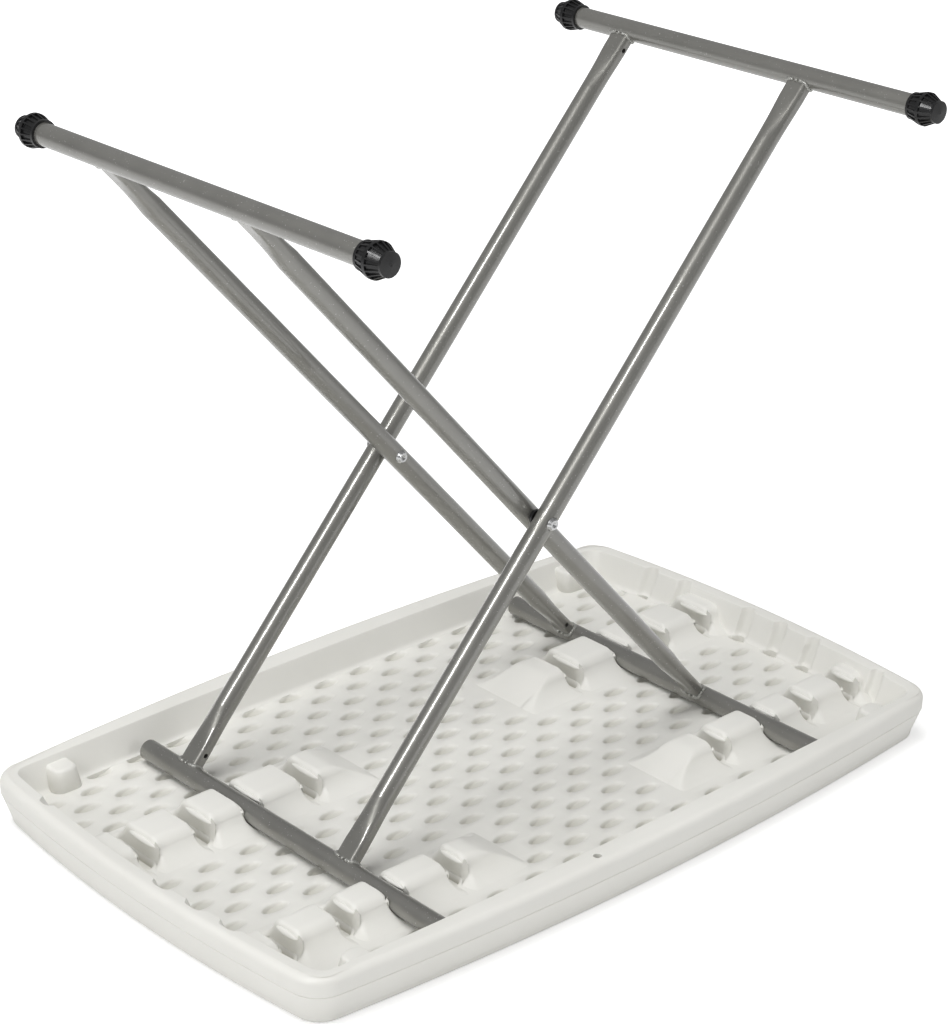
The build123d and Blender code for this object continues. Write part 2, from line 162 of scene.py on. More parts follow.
world = bpy.data.worlds.new("studio")
bpy.context.scene.world = world
world.use_nodes = True
tree = world.node_tree
tree.nodes.clear()
path = add_node(tree, "ShaderNodeLightPath")
seen = maths(tree, "MAXIMUM", path.outputs["Is Camera Ray"], path.outputs["Is Transmission Ray"])
room = add_node(tree, "ShaderNodeBackground", socket_1=0.3)
backdrop = add_node(tree, "ShaderNodeBackground", socket_1=1.0)
room.inputs[0].default_value = linear("#ffffff")
backdrop.inputs[0].default_value = linear("#ffffff")
mixed = add_node(tree, "ShaderNodeMixShader", {0: seen, 1: room.outputs[0], 2: backdrop.outputs[0]})
add_node(tree, "ShaderNodeOutputWorld", {0: mixed.outputs[0]})


# %% Studio lamps
def soft_lamp(name, place, target, width, height, power, along=(0, 0, 1)):
    """A rectangular soft box that faces a point, with its height turned along a direction."""
    lamp = bpy.data.objects.new(name, bpy.data.lights.new(name, "AREA"))
    lamp.data.shape = "RECTANGLE"
    lamp.data.size = width
    lamp.data.size_y = height
    lamp.data.energy = power
    back = (Vector(place) - Vector(target)).normalized()
    right = Vector(along).cross(back).normalized()
    turn = Matrix((right, back.cross(right), back)).transposed().to_4x4()
    lamp.matrix_world = Matrix.Translation(place) @ turn
    bpy.context.scene.collection.objects.link(lamp)
    return lamp


overhead_box = soft_lamp("overhead_box", (-0.3, 0.3, 2.8), (0, 0, 0.1), 2.0, 1.6, 51, (0, 1, 0))
left_box = soft_lamp("left_box", (-2.5, -0.5, 1.2), (0, 0, 0.1), 1.6, 1.4, 22)
front_fill = soft_lamp("front_fill", (0.2, -2.7, 1.25), (0, 0, 0.1), 2.0, 1.4, 16)
# These large boxes light the plastic; the paint of the legs doesn't mirror them.
for lamp in (overhead_box, left_box, front_fill):
    lamp.visible_glossy = False
# Two strips to the upper left, turned like the legs, only draw a thin line of light along the paint.
along_legs = (0.669, 0, 0.743)
low_strip = soft_lamp("low_strip", (-1.81, -0.28, 1.95), (-0.2, 0.03, 0.13), 0.46, 0.6, 24, along_legs)
high_strip = soft_lamp("high_strip", (-1.39, -0.28, 2.42), (0.2, 0.03, 0.57), 0.46, 0.22, 8, along_legs)
for lamp in (low_strip, high_strip):
    lamp.visible_diffuse = False
print("lamps placed")

# %% [markdown]
# The top is blow-moulded high-density polyethylene: a nearly white plastic with a low, waxy shine and a fine
# grain left by the sandblasted mould. A very small bump gives the grain, and slow clouds vary its gloss.
# In the hollows of the panel a painted shade darkens the colour, more the deeper they lie.

# %% Moulded polyethylene
def moulded(name, painted_shade_height=None):
    """The plastic of the top; below a height, in metres, a painted shade darkens it as the panel's hollows get
    deeper.
    """
    material, tree, shader = new_material(name)
    shader.inputs["IOR"].default_value = 1.52
    place = add_node(tree, "ShaderNodeTexCoord")
    clouds = add_node(tree, "ShaderNodeTexNoise", {"Vector": place.outputs["Object"]})
    clouds.inputs["Scale"].default_value = 1 / (60 * MM)
    clouds.inputs["Detail"].default_value = 3.0
    tone_and_painted_shade = add_node(tree, "ShaderNodeMix", {0: clouds.outputs[0]}, data_type="RGBA")
    tone_and_painted_shade.inputs[6].default_value = linear("#e2e1db")
    tone_and_painted_shade.inputs[7].default_value = linear("#e8e7e2")
    if painted_shade_height:
        spot = add_node(tree, "ShaderNodeSeparateXYZ", {0: place.outputs["Object"]})
        # Painted shade: the colour darkens to a grey-beige in the dimples and to a dark grey in the deeper pockets
        # and pits.
        for top, bottom, colour in ((painted_shade_height, painted_shade_height - 4.5 * MM, "#bdbbb1"),
                                    (painted_shade_height - 5.5 * MM, painted_shade_height - 8.5 * MM, "#4a4943")):
            painted_shade_share = add_node(tree, "ShaderNodeMapRange", {0: spot.outputs[2]}, socket_1=top, socket_2=bottom)
            tone_and_painted_shade = add_node(tree, "ShaderNodeMix", {0: painted_shade_share.outputs[0], 6: tone_and_painted_shade.outputs[2]}, data_type="RGBA")
            tone_and_painted_shade.inputs[7].default_value = linear(colour)
    tree.links.new(tone_and_painted_shade.outputs[2], shader.inputs["Base Color"])
    gloss = add_node(tree, "ShaderNodeMapRange", {0: clouds.outputs[0]}, socket_3=0.42, socket_4=0.55)
    tree.links.new(gloss.outputs[0], shader.inputs["Roughness"])
    # The real grain is about 0.3 mm across; it is drawn at 0.9 mm so that it shows in the picture.
    grain = add_node(tree, "ShaderNodeTexNoise", {"Vector": place.outputs["Object"]})
    grain.inputs["Scale"].default_value = 1 / (0.9 * MM)
    bump = add_node(tree, "ShaderNodeBump", {"Height": grain.outputs[0]})
    bump.inputs["Strength"].default_value = 0.12
    bump.inputs["Distance"].default_value = 0.1 * MM
    tree.links.new(bump.outputs[0], shader.inputs["Normal"])
    return material


polyethylene = moulded("moulded_polyethylene")
# This plastic carries the painted shade of the panel's hollows.
polyethylene_with_painted_shade = moulded("polyethylene_painted_shade_in_hollows", 19.2 * MM)

# %% [markdown]
# The legs are steel tube with a grey powder coat: baked plastic powder that flows into a smooth skin with a
# slight orange peel and a few bright flakes in it. It is mostly diffuse, with a clear, fairly sharp sheen.

# %% Grey powder coat
def coat(name, dull, bright, peel_height):
    """A powder coat between two greys, with orange peel and bright flakes."""
    material, tree, shader = new_material(name)
    shader.inputs["Metallic"].default_value = 0.65
    shader.inputs["Coat Weight"].default_value = 1.0
    shader.inputs["Coat IOR"].default_value = 1.6
    shader.inputs["Coat Roughness"].default_value = 0.05
    place = add_node(tree, "ShaderNodeTexCoord")
    drift = add_node(tree, "ShaderNodeTexNoise", {"Vector": place.outputs["Object"]})
    drift.inputs["Scale"].default_value = 1 / (25 * MM)
    drift.inputs["Detail"].default_value = 4.0
    shade = add_node(tree, "ShaderNodeMix", {0: drift.outputs[0]}, data_type="RGBA")
    shade.inputs[6].default_value = linear(dull)
    shade.inputs[7].default_value = linear(bright)
    # Flakes are about 0.1 mm across; they are drawn larger, and few, so that they show.
    speck = add_node(tree, "ShaderNodeTexVoronoi", {"Vector": place.outputs["Object"]})
    speck.inputs["Scale"].default_value = 1 / (0.7 * MM)
    rare = add_node(tree, "ShaderNodeSeparateColor", {0: speck.outputs["Color"]})
    rare = add_node(tree, "ShaderNodeMapRange", {0: rare.outputs[0]}, socket_1=0.988, socket_2=1.0)
    flecked = add_node(tree, "ShaderNodeMix", {0: rare.outputs[0], 6: shade.outputs[2]}, data_type="RGBA")
    flecked.inputs[7].default_value = linear("#bcbcb8")
    tree.links.new(flecked.outputs[2], shader.inputs["Base Color"])
    gloss = add_node(tree, "ShaderNodeMapRange", {0: drift.outputs[0]}, socket_3=0.36, socket_4=0.46)
    tree.links.new(gloss.outputs[0], shader.inputs["Roughness"])
    peel = add_node(tree, "ShaderNodeTexNoise", {"Vector": place.outputs["Object"]})
    peel.inputs["Scale"].default_value = 1 / (1.6 * MM)
    bump = add_node(tree, "ShaderNodeBump", {"Height": peel.outputs[0]})
    bump.inputs["Strength"].default_value = 0.25
    bump.inputs["Distance"].default_value = peel_height
    tree.links.new(bump.outputs[0], shader.inputs["Normal"])
    tree.links.new(bump.outputs[0], shader.inputs["Coat Normal"])
    return material


powder_coat = coat("grey_powder_coat", "#7f7e79", "#8e8d88", 0.05 * MM)
weld_paint = coat("thin_coat_on_weld", "#8d8d88", "#b9b9b4", 0.3 * MM)

# %% [markdown]
# The foot caps are injection-moulded black polypropylene with a soft gloss and fine scuffs from the floor.

# %% Black polypropylene
black_plastic, tree, shader = new_material("black_polypropylene")
shader.inputs["IOR"].default_value = 1.49
place = add_node(tree, "ShaderNodeTexCoord")
scuff = add_node(tree, "ShaderNodeTexNoise", {"Vector": place.outputs["Object"]})
scuff.inputs["Scale"].default_value = 1 / (3 * MM)
scuff.inputs["Detail"].default_value = 6.0
shade = add_node(tree, "ShaderNodeMix", {0: scuff.outputs[0]}, data_type="RGBA")
shade.inputs[6].default_value = linear("#0f0f10")
shade.inputs[7].default_value = linear("#1d1d1e")
tree.links.new(shade.outputs[2], shader.inputs["Base Color"])
gloss = add_node(tree, "ShaderNodeMapRange", {0: scuff.outputs[0]}, socket_3=0.22, socket_4=0.4)
tree.links.new(gloss.outputs[0], shader.inputs["Roughness"])

# %% [markdown]
# The rivets at the crossing are zinc-plated steel: a bright metal whose thin plating is a little uneven.

# %% Zinc-plated steel
zinc, tree, shader = new_material("zinc_plated_steel")
shader.inputs["Metallic"].default_value = 1.0
place = add_node(tree, "ShaderNodeTexCoord")
plating = add_node(tree, "ShaderNodeTexNoise", {"Vector": place.outputs["Object"]})
plating.inputs["Scale"].default_value = 1 / (2 * MM)
plating.inputs["Detail"].default_value = 4.0
shade = add_node(tree, "ShaderNodeMix", {0: plating.outputs[0]}, data_type="RGBA")
shade.inputs[6].default_value = linear("#b4b5b6")
shade.inputs[7].default_value = linear("#dcdddd")
tree.links.new(shade.outputs[2], shader.inputs["Base Color"])
gloss = add_node(tree, "ShaderNodeMapRange", {0: plating.outputs[0]}, socket_3=0.18, socket_4=0.35)
tree.links.new(gloss.outputs[0], shader.inputs["Roughness"])

# %% [markdown]
# The top is one hollow moulding. Its rim follows a rectangle with swollen sides, and the tray inside it
# follows a second, straighter one. Both are drawn here as arcs, so that rings of points at any height can be
# laid round them. A ring always has the same number of points, and two rings can be joined by plain quads.

# %% Outlines of the moulded top
PANEL, RIM = 19.5 * MM, 46.5 * MM
WALL_LEAN = 23.5
DRAFT = math.tan(math.radians(WALL_LEAN))
TRAY_HALF = (352.76 * MM, 203.76 * MM)
TOP_HALF = (381 * MM, 239 * MM)
TRAY_BOW = (13 * MM, 6 * MM)
TOP_BOW = (14.5 * MM, 18.7 * MM)
TRAY_CORNER, TOP_CORNER = 10 * MM, 28 * MM


def arc(centre, radius, start, end, count):
    """Points on an arc between two angles, without the last one."""
    turn = np.linspace(start, end, count, endpoint=False)
    return np.stack([centre[0] + radius * np.cos(turn), centre[1] + radius * np.sin(turn)], 1)


def ring_points(half_length, half_width, end_bow, side_bow, radius):
    """A closed ring round a bowed rectangle with rounded corners."""
    corner_x, corner_y = half_length - end_bow, half_width - side_bow
    end_radius = (corner_y**2 + end_bow**2) / (2 * end_bow)
    side_radius = (corner_x**2 + side_bow**2) / (2 * side_bow)
    end_middle = np.array([half_length - end_radius, 0])
    side_middle = np.array([0, half_width - side_radius])
    # The corner's own centre lies one corner radius inside both side arcs.
    apart = side_middle - end_middle
    distance = np.hypot(*apart)
    reach, other = end_radius - radius, side_radius - radius
    along = (reach**2 - other**2 + distance**2) / (2 * distance)
    across = math.sqrt(reach**2 - along**2)
    corner = end_middle + apart * along / distance + np.array([apart[1], -apart[0]]) * across / distance
    if corner[0] < 0 or corner[1] < 0:
        corner = end_middle + apart * along / distance - np.array([apart[1], -apart[0]]) * across / distance
    end_turn = math.atan2(*(corner - end_middle)[::-1])
    side_turn = math.atan2(*(corner - side_middle)[::-1])
    quarter = np.concatenate([
        arc(end_middle, end_radius, 0, end_turn, 104),
        arc(corner, radius, end_turn, side_turn, 14),
        arc(side_middle, side_radius, side_turn, math.pi / 2, 118),
        [[0, half_width]],
    ])
    left = quarter[::-1][1:] * (-1, 1)
    half = np.concatenate([quarter, left])
    return np.concatenate([half, half[::-1][1:-1] * (1, -1)])


def tray_ring(out):
    """A ring on the tray wall, a distance out from the edge of the panel."""
    return ring_points(TRAY_HALF[0] + out, TRAY_HALF[1] + out, *TRAY_BOW, TRAY_CORNER + out / 3)


def outer_ring(inset, corner):
    """A ring on the outside of the rim, a distance in from its widest line."""
    return ring_points(TOP_HALF[0] - inset, TOP_HALF[1] - inset, *TOP_BOW, corner)


print("points in a ring:", len(tray_ring(0)))

# %% [markdown]
# The rim is a skin of rings: up the sloping tray wall, over the broad lip, down past the parting line where
# the two mould halves met, and round under the smooth working face. Shallow flutes run up the two short walls
# where the dimple pattern meets them, so the rings there are pushed outwards by a smooth bump.

# %% Flutes in the short walls
FLUTE_DEPTH = 6 * MM
# Middle and half width in mm of the flutes in the left (-1) and the right (1) wall
flutes = {
    -1: ((146.5, 9), (-25, 12), (-67.3, 12), (-109.5, 12)),
    1: ((132.2, 7.5), (90, 7.5), (5.5, 7.5), (-36.7, 7.5), (-79, 7.5), (-163.5, 7.5)),
}


def fluted(ring, out, height):
    """Push a ring outwards where a flute runs up a short wall."""
    ring = ring.copy()
    for side, places in flutes.items():
        on_end = side * ring[:, 0] > TRAY_HALF[0] - 14 * MM
        for middle, half_width in places:
            away = (ring[:, 1] - middle * MM) / (half_width * MM)
            push = FLUTE_DEPTH * np.clip(1 - away**4, 0, 1) - max(out - (height - PANEL) * DRAFT, 0)
            ring[:, 0] += side * np.where(on_end, np.maximum(push, 0), 0)
    return ring


print("flutes:", {side: len(places) for side, places in flutes.items()})

# %% Rings of the rim
FOOT_RADIUS, INNER_EDGE, OUTER_EDGE, FACE_EDGE = 6 * MM, 1.2 * MM, 7 * MM, 5 * MM
wall = [(-2.9 * MM, 13.6 * MM), (-2.6 * MM, 18.5 * MM)]
# The foot of the wall is a round hollow.
for turn in np.radians(np.linspace(-75, -WALL_LEAN, 6)):
    wall.append((-3.93 * MM + FOOT_RADIUS * math.cos(turn), PANEL + FOOT_RADIUS + FOOT_RADIUS * math.sin(turn)))
for height in np.linspace(26 * MM, 45 * MM, 6):
    wall.append(((height - PANEL) * DRAFT, height))
rings = [(fluted(tray_ring(out), out, height), height) for out, height in wall]
# The inner edge of the lip is crisp; from there the lip rises in a very shallow crown.
lip = []
for turn in np.radians(np.linspace(WALL_LEAN, 84, 6)[1:]):
    lip.append((12.188 * MM - INNER_EDGE * math.cos(turn), 44.522 * MM + INNER_EDGE * math.sin(turn)))
for out in np.linspace(12.063 * MM, 19.5 * MM, 6)[1:]:
    lip.append((out, RIM - 0.785 * MM * ((21.24 * MM - out) / (9.177 * MM)) ** 1.2))
rings += [(fluted(tray_ring(out), out, height), height) for out, height in lip]
for turn in np.radians(np.linspace(90, 0, 9)):
    inset = OUTER_EDGE * (1 - math.cos(turn))
    rings.append((outer_ring(inset, TOP_CORNER - inset), RIM - OUTER_EDGE * (1 - math.sin(turn))))
# A seam 0.7 mm deep marks the parting line; below it the outside leans in towards the working face.
for inset, height in ((0, 31), (0, 30.5), (0.7, 30.2), (0.8, 29.8), (0.35, 29.4), (0.9, 27.5), (3.3, 18), (5.9, 8.5)):
    rings.append((outer_ring(inset * MM, TOP_CORNER), height * MM))
for turn in np.radians(np.linspace(-14, 90, 8)):
    inset = 11.9 * MM - FACE_EDGE * math.cos(turn)
    rings.append((outer_ring(inset, TOP_CORNER - inset / 2), FACE_EDGE * (1 - math.sin(turn))))
print("rings of the rim:", len(rings))


# %% Helpers for finished pieces
def new_piece(name, mesh, body, slot, material, *stands_for):
    """Make a finished mesh into an object with its material, ride it on a body and hide the solids it stands for."""
    piece = bpy.data.objects.new(name, mesh)
    bpy.context.scene.collection.objects.link(piece)
    mesh.materials.clear()
    mesh.materials.append(material)
    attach(piece, body)
    if stands_for:
        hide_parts(*stands_for)
    print(name, "has", len(mesh.polygons), "faces")


def baked(maker_object):
    """The evaluated shape of an object as a plain mesh; the object itself is removed."""
    graph = bpy.context.evaluated_depsgraph_get()
    mesh = bpy.data.meshes.new_from_object(maker_object.evaluated_get(graph), depsgraph=graph)
    bpy.data.objects.remove(maker_object)
    return mesh


# %% Skin of the rim
count = len(rings[0][0])
points = [(x, y, height) for ring, height in rings for x, y in ring]
faces = []
for low in range(0, (len(rings) - 1) * count, count):
    for i in range(count):
        after = (i + 1) % count
        faces.append((low + i, low + after, low + count + after, low + count + i))
faces.append(tuple(range(count)))
faces.append(tuple(reversed(range((len(rings) - 1) * count, len(rings) * count))))
rim_mesh = bpy.data.meshes.new("moulded_rim")
rim_mesh.from_pydata(points, [], faces)
shape = bmesh.new()
shape.from_mesh(rim_mesh)
bmesh.ops.recalc_face_normals(shape, faces=shape.faces)
shape.to_mesh(rim_mesh)
shape.free()

# %% Small hole in the lip of the near side
drill_mesh = bpy.data.meshes.new("drill")
shape = bmesh.new()
bmesh.ops.create_cone(shape, cap_ends=True, segments=32, radius1=2.6 * MM, radius2=3.6 * MM, depth=20 * MM,
                      matrix=Matrix.Translation((-72 * MM, -226 * MM, RIM - 9 * MM)))
shape.to_mesh(drill_mesh)
shape.free()
drill = bpy.data.objects.new("drill", drill_mesh)
rim = bpy.data.objects.new("rim", rim_mesh)
for part in (drill, rim):
    bpy.context.scene.collection.objects.link(part)
cut = rim.modifiers.new("hole in the lip", "BOOLEAN")
cut.object = drill
cut.solver = "EXACT"
rim_mesh = baked(rim)
bpy.data.objects.remove(drill)
rim_mesh.shade_smooth()
rim_mesh.set_sharp_from_angle(angle=math.radians(50))
new_piece("moulded_rim", rim_mesh, "tabletop", "moulded_plastic", polyethylene, "table_top")

# %% [markdown]
# The panel between the walls is stiffened by staggered rows of oval dimples. One tile with a dimple in its
# middle is worked out from a small grid whose columns are angles and whose rows are rings, and Geometry Nodes
# set a copy of it on every lattice point. Points under a hook or a boss get a plain tile instead.

# %% Lattice points of the panel
LATTICE_START = (9.3 * MM, 5.5 * MM)
STEP_X, STEP_Y = 21.55 * MM, 21.12 * MM
# Where the feet of the near and of the far row of hooks begin and end along y
ROW_FEET = ((-166.5 * MM, -95.9 * MM), (22.5 * MM, 105 * MM))
RAMP_TOE = 91.9 * MM
# A leg from its rivet down to the crossbar and up to the foot bar, and its angle in degrees
LEG_BELOW, LEG_ABOVE, LEG_ANGLE = 333.98 * MM, 443.98 * MM, 48
# A slot lies as far out as the crossbar reaches at each height of the table; the third is in use.
SLOTS = [LEG_BELOW * math.cos(math.radians(angle)) for angle in (2.5, 34.5, LEG_ANGLE, 61.6)]


def plain(x, y):
    """Whether a lattice point has no dimple: a row of hooks, a boss or a short wall stands on it."""
    under_hook = abs(x) > RAMP_TOE - 12 * MM and any(a - 6 * MM < y < b + 6 * MM for a, b in ROW_FEET)
    under_boss = abs(abs(x) - 311.5 * MM) < 26 * MM and abs(y) > 182 * MM
    return under_hook or under_boss or abs(x) > 345 * MM


lattice = [
    (LATTICE_START[0] + i * STEP_X, LATTICE_START[1] + j * STEP_Y)
    for i in range(-18, 18)
    for j in range(-11, 11)
    if (i + j) % 2 == 0
]
lattice = [(x, y) for x, y in lattice if abs(x) < TRAY_HALF[0] + 18 * MM and abs(y) < TRAY_HALF[1] + 8 * MM]
lattice_mesh = bpy.data.meshes.new("panel_lattice")
lattice_mesh.from_pydata([(x, y, PANEL) for x, y in lattice], [], [])
marks = lattice_mesh.attributes.new("dimple", "BOOLEAN", "POINT")
marks.data.foreach_set("value", [not plain(x, y) for x, y in lattice])
panel = bpy.data.objects.new("panel_maker", lattice_mesh)
bpy.context.scene.collection.objects.link(panel)
print("lattice points:", len(lattice))

# %% Dimple tile in Geometry Nodes
panel_sizes = {
    "Tile length": 2 * STEP_X,
    "Tile width": STEP_Y,
    "Dimple length": 27.5 * MM,
    "Dimple width": 12.0 * MM,
    "Dimple depth": 5.5 * MM,
    "Dimple lean": 2.0 * MM,
}
# The rings of a dimple reach a little past its lip.
LAST_RING = 1.06
tree = new_group("dimpled_panel")
size_sockets = {name: new_input(tree, name, "NodeSocketFloat") for name in panel_sizes}
given = add_node(tree, "NodeGroupInput")
grid = add_node(tree, "GeometryNodeMeshGrid", socket_0=1.0, socket_1=1.0, socket_2=33, socket_3=10)
place = add_node(tree, "GeometryNodeInputPosition")
cell = add_node(tree, "ShaderNodeSeparateXYZ", {0: place.outputs[0]})
turn = maths(tree, "MULTIPLY_ADD", cell.outputs[0], 2 * math.pi, math.pi)
share = maths(tree, "ADD", cell.outputs[1], 0.5)
cosine = maths(tree, "COSINE", turn)
sine = maths(tree, "SINE", turn)
# The rings grow closer together towards the lip; the tenth is the edge of the tile.
spread = maths(tree, "MULTIPLY", share, 9 / 8)
spread = maths(tree, "POWER", spread, 0.6)
spread = maths(tree, "MULTIPLY", spread, LAST_RING)
oval_x = maths(tree, "MULTIPLY", maths(tree, "MULTIPLY", given.outputs["Dimple length"], spread), cosine)
oval_y = maths(tree, "MULTIPLY", maths(tree, "MULTIPLY", given.outputs["Dimple width"], spread), sine)
depth = maths(tree, "MULTIPLY", given.outputs["Dimple depth"], -1.0)
bowl = add_node(tree, "ShaderNodeMapRange", {0: spread, 3: depth}, socket_1=0.68, socket_2=1.02, socket_4=0.0)
# The floor is deepest at one end and rises to the other.
along = maths(tree, "MULTIPLY", cosine, spread)
tilt = add_node(tree, "ShaderNodeMapRange", {0: along}, socket_1=-0.9, socket_2=0.9, socket_3=1.0, socket_4=0.25)
bowl = maths(tree, "MULTIPLY", bowl.outputs[0], tilt.outputs[0])
oval = add_node(tree, "ShaderNodeCombineXYZ", {0: oval_x, 1: oval_y, 2: bowl})
halved = add_node(tree, "ShaderNodeVectorMath", {0: oval.outputs[0]}, operation="MULTIPLY")
halved.inputs[1].default_value = (0.5, 0.5, 1)
# The deepest point leans towards one end, which makes that end the steeper one.
inner = add_node(tree, "ShaderNodeMapRange", {0: spread},
                 socket_1=0.0, socket_2=LAST_RING, socket_3=-1.0, socket_4=0.0)
lean = add_node(tree, "ShaderNodeCombineXYZ",
                {0: maths(tree, "MULTIPLY", inner.outputs[0], given.outputs["Dimple lean"])})
halved = add_node(tree, "ShaderNodeVectorMath", {0: halved.outputs[0], 1: lean.outputs[0]}, operation="ADD")
# The tile's edge is a rectangle, with one point for each angle.
longest = maths(tree, "MAXIMUM", maths(tree, "ABSOLUTE", cosine), maths(tree, "ABSOLUTE", sine))
unit = add_node(tree, "ShaderNodeCombineXYZ",
                {0: maths(tree, "DIVIDE", cosine, longest), 1: maths(tree, "DIVIDE", sine, longest)})
tile = add_node(tree, "ShaderNodeCombineXYZ", {0: given.outputs["Tile length"], 1: given.outputs["Tile width"]})
edge = add_node(tree, "ShaderNodeVectorMath", {0: unit.outputs[0], 1: tile.outputs[0]}, operation="MULTIPLY")
edge = add_node(tree, "ShaderNodeVectorMath", {0: edge.outputs[0]}, operation="SCALE")
edge.inputs["Scale"].default_value = 0.5
at_edge = add_node(tree, "FunctionNodeCompare", {0: share}, operation="GREATER_THAN", socket_1=0.95)
ring = add_node(tree, "GeometryNodeSwitch", {0: at_edge.outputs[0], 1: halved.outputs[0], 2: edge.outputs[0]},
                input_type="VECTOR")
dimple = add_node(tree, "GeometryNodeSetPosition", {0: grid.outputs[0], 2: ring.outputs[0]})
dimple = add_node(tree, "GeometryNodeMergeByDistance", {0: dimple.outputs[0]})
dimple.inputs["Distance"].default_value = 0.02 * MM
print("nodes for a dimple:", len(tree.nodes))

# %% Tiles on the lattice in Geometry Nodes
blank = add_node(tree, "GeometryNodeMeshGrid", {0: given.outputs["Tile length"], 1: given.outputs["Tile width"]},
                 socket_2=21, socket_3=11)
mark = add_node(tree, "GeometryNodeInputNamedAttribute", data_type="BOOLEAN")
mark.inputs["Name"].default_value = "dimple"
unmarked = add_node(tree, "FunctionNodeBooleanMath", {0: mark.outputs[0]}, operation="NOT")
dimples, blanks = (
    add_node(tree, "GeometryNodeInstanceOnPoints",
             {"Points": given.outputs[0], "Selection": chosen.outputs[0], "Instance": shape.outputs[0]})
    for chosen, shape in ((mark, dimple), (unmarked, blank))
)
both = add_node(tree, "GeometryNodeJoinGeometry", {0: dimples.outputs[0]})
tree.links.new(blanks.outputs[0], both.inputs[0])
whole = add_node(tree, "GeometryNodeRealizeInstances", {0: both.outputs[0]})
whole = add_node(tree, "GeometryNodeMergeByDistance", {0: whole.outputs[0]})
whole.inputs["Distance"].default_value = 0.02 * MM
whole = add_node(tree, "GeometryNodeSetMaterial", {0: whole.outputs[0]})
whole.inputs["Material"].default_value = polyethylene_with_painted_shade
add_node(tree, "NodeGroupOutput", {0: whole.outputs[0]})

maker = panel.modifiers.new("dimpled panel", "NODES")
maker.node_group = tree
for name, value in panel_sizes.items():
    maker[size_sockets[name]] = value

# %% Plain mesh of the panel
# Middle of each row of hooks along y, and half the width of its crown
ROWS = {"near": (-129.96 * MM, 13 * MM), "far": (65.04 * MM, 19 * MM)}
# A pocket in the floor of a slot is this many times as long as the crown is wide.
POCKET_SHARE = 1.45
POCKET_DEPTH, PIT_DEPTH = 10 * MM, 9 * MM
PIT_START = 346.5 * MM
panel_mesh = baked(panel)
spots = np.zeros(len(panel_mesh.vertices) * 3)
panel_mesh.vertices.foreach_get("co", spots)
spots = spots.reshape(-1, 3)
# Tiles that run in under the walls are cut off inside them.
reach_x = TRAY_HALF[0] + 5 * MM - TRAY_BOW[0] * (spots[:, 1] / TRAY_HALF[1]) ** 2
reach_y = TRAY_HALF[1] + 5 * MM - TRAY_BOW[1] * (spots[:, 0] / TRAY_HALF[0]) ** 2
spots[:, 0] = np.clip(spots[:, 0], -reach_x, reach_x)
spots[:, 1] = np.clip(spots[:, 1], -reach_y, reach_y)
# A shallow pocket lies in the panel below each slot, 14 mm wide with round ends.
for slot_x in SLOTS:
    for middle, half_top in ROWS.values():
        past = np.maximum(abs(spots[:, 1] - middle) - POCKET_SHARE * half_top + 7 * MM, 0)
        away = np.hypot(abs(spots[:, 0]) - slot_x, past)
        share = np.clip((8 * MM - away) / (2 * MM), 0, 1)
        spots[:, 2] -= POCKET_DEPTH * share**2 * (3 - 2 * share)
# Each flute ends in a pit at the foot of the wall, where the pattern's last dimple would lie.
for side, places in flutes.items():
    for middle, half_width in places:
        across = np.clip((half_width * MM - abs(spots[:, 1] - middle * MM)) / (2.2 * MM), 0, 1)
        inward = np.clip((side * spots[:, 0] - PIT_START) / (2.2 * MM), 0, 1)
        spots[:, 2] -= PIT_DEPTH * np.minimum(across, inward)
panel_mesh.vertices.foreach_set("co", spots.ravel())
shape = bmesh.new()
shape.from_mesh(panel_mesh)
bmesh.ops.remove_doubles(shape, verts=shape.verts, dist=0.01 * MM)
shape.normal_update()
bmesh.ops.reverse_faces(shape, faces=[face for face in shape.faces if face.normal.z < 0])
shape.to_mesh(panel_mesh)
shape.free()
panel_mesh.shade_smooth()
new_piece("dimpled_panel", panel_mesh, "tabletop", "moulded_plastic", polyethylene_with_painted_shade, "table_top")

# %% [markdown]
# Four rows of hooks hold the crossbars. Seen from the end, every block of a row has the same bell shape: a flat
# crown, rounded shoulders and feet that flare out into the panel. So a block is that one profile swept along the
# table. Near a slot the profile shrinks by a small rounding; on the ramp it is cut lower and lower.

# %% Bell profile of the hooks
CROWN = 39.5 * MM
SLOPE = math.radians(62)
# The sweep of a foot starts at this angle, just below the panel.
FOOT_TURN = 0.15


def flank(half_top, radius, shoulder):
    """One side of the bell from its foot up to the middle of the crown; distances run from the row's middle."""
    corner = half_top + (CROWN - PANEL) / math.tan(SLOPE)
    toe = corner + radius * math.tan(SLOPE / 2)
    side = [(toe - radius * math.sin(FOOT_TURN), PANEL - 8 * MM)]
    for turn in np.linspace(FOOT_TURN, SLOPE, 14):
        side.append((toe - radius * math.sin(turn), PANEL - 0.5 * MM + radius * (1 - math.cos(turn))))
    middle = half_top - shoulder * math.tan(SLOPE / 2)
    for turn in np.linspace(SLOPE, 0, 9):
        side.append((middle + shoulder * math.sin(turn), CROWN - shoulder * (1 - math.cos(turn))))
    return side


def bell(half_top):
    """The whole profile, from the near foot to the far foot; the near side is 3 mm longer."""
    near = [(-y, z) for y, z in flank(half_top + 3 * MM, 29 * MM, 13 * MM)]
    far = flank(half_top, 27 * MM, 11 * MM)
    return np.array(near + far[::-1])


def shrunk(profile, inset):
    """The profile moved inwards by a distance along its own normals."""
    along = np.gradient(profile, axis=0)
    along /= np.linalg.norm(along, axis=1)[:, None]
    return profile + inset * np.stack([along[:, 1], -along[:, 0]], 1)


print("points in a bell profile:", len(bell(13 * MM)))

# %% Blocks of the hooks
SHARP_EDGE, ROUND_EDGE = 2 * MM, 5 * MM
SLOT_HALF, BAR_HEIGHT = 9.65 * MM, 29.05 * MM
# The first block runs into the short wall; the last one slopes down in a ramp.
BLOCK_END = 365 * MM
RAMP_LENGTH, RAMP_REACH = 38 * MM, 200 * MM


